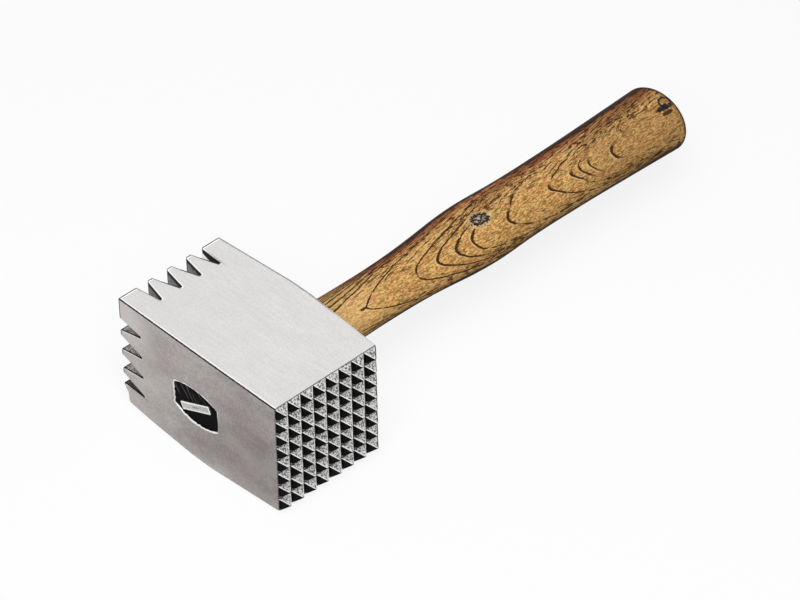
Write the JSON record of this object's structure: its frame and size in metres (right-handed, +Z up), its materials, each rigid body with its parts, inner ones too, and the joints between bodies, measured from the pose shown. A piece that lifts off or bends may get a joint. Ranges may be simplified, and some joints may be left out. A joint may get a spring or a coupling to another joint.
{
  "type": "meat mallet",
  "caption": "Meat mallet: a cast block head with coarse teeth at one end and fine points at the other, wedged on an oval wooden handle.",
  "frame": {"origin": "middle of the flat land under the head, which the mallet rests on, straight below the handle's axis", "axes": "+X along the head towards the fine teeth, +Y along the handle towards its butt, +Z up"},
  "size_m": [0.107, 0.2976, 0.0642],
  "materials": {
    "cast_aluminium": "fine-ground casting, satin",
    "oiled_wood": "oiled, flat-sawn grain",
    "bright_steel": "plain rolled strip"
  },
  "bodies": {
    "root": {"head_block": "cast_aluminium", "wooden_handle": "oiled_wood", "metal_wedge": "bright_steel"}
  },
  "joints": []
}
